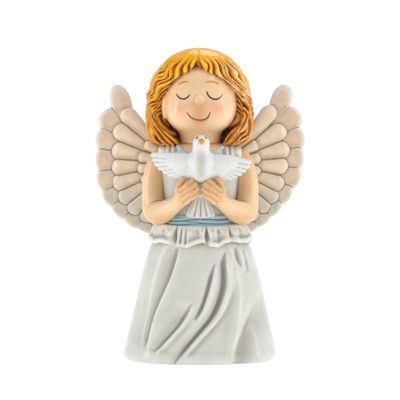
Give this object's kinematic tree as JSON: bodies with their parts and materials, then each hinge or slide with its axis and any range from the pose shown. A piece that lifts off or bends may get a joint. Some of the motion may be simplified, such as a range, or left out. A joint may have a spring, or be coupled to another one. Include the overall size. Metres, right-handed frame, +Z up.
{
  "type": "resin angel figurine",
  "caption": "Painted resin angel figurine with feathered wings, a bell of golden hair, a gathered dress and a dove held in its hands.",
  "frame": {"origin": "middle of the flat underside, on the surface the figurine stands on", "axes": "+Z up, the angel faces -Y, and its own left side is +X"},
  "size_m": [0.08, 0.045, 0.12],
  "materials": {
    "skirt_white_resin": "pearl white paint on cast resin, satin",
    "painted_white_resin": "pearl white paint on cast resin with a thin beige wash, satin",
    "painted_skin_resin": "warm skin paint on cast resin, semi-gloss",
    "painted_golden_hair": "golden paint on cast resin with darker grooves, glossy",
    "painted_sash_blue": "pale blue paint on cast resin, satin",
    "painted_trim_blue": "very pale blue paint on cast resin, satin",
    "painted_wing_beige": "off-white paint on cast resin with a beige wash in the grooves, satin",
    "painted_dove_white": "white paint on cast resin, satin",
    "painted_beak_orange": "orange paint on cast resin, glossy",
    "foam_pad": "soft non-slip foam, matt",
    "steel_pin": "plain drawn steel"
  },
  "bodies": {
    "root": {"base_pad": "foam_pad", "skirt": "skirt_white_resin", "peplum": "painted_white_resin", "sash": "painted_sash_blue", "bodice": "painted_white_resin", "neckline_trim": "painted_trim_blue", "head": "painted_skin_resin", "hair": "painted_golden_hair", "left_arm": "painted_skin_resin", "right_arm": "painted_skin_resin", "left_hand": "painted_skin_resin", "right_hand": "painted_skin_resin", "left_wing": "painted_wing_beige", "right_wing": "painted_wing_beige", "left_wing_pin_upper": "steel_pin", "left_wing_pin_lower": "steel_pin", "right_wing_pin_upper": "steel_pin", "right_wing_pin_lower": "steel_pin", "left_shoulder_pin": "steel_pin", "right_shoulder_pin": "steel_pin", "neck_pin": "steel_pin", "dove_pin": "steel_pin", "dove_body": "painted_dove_white", "dove_left_wing": "painted_dove_white", "dove_right_wing": "painted_dove_white", "dove_tail": "painted_dove_white", "dove_beak": "painted_beak_orange"}
  },
  "joints": []
}
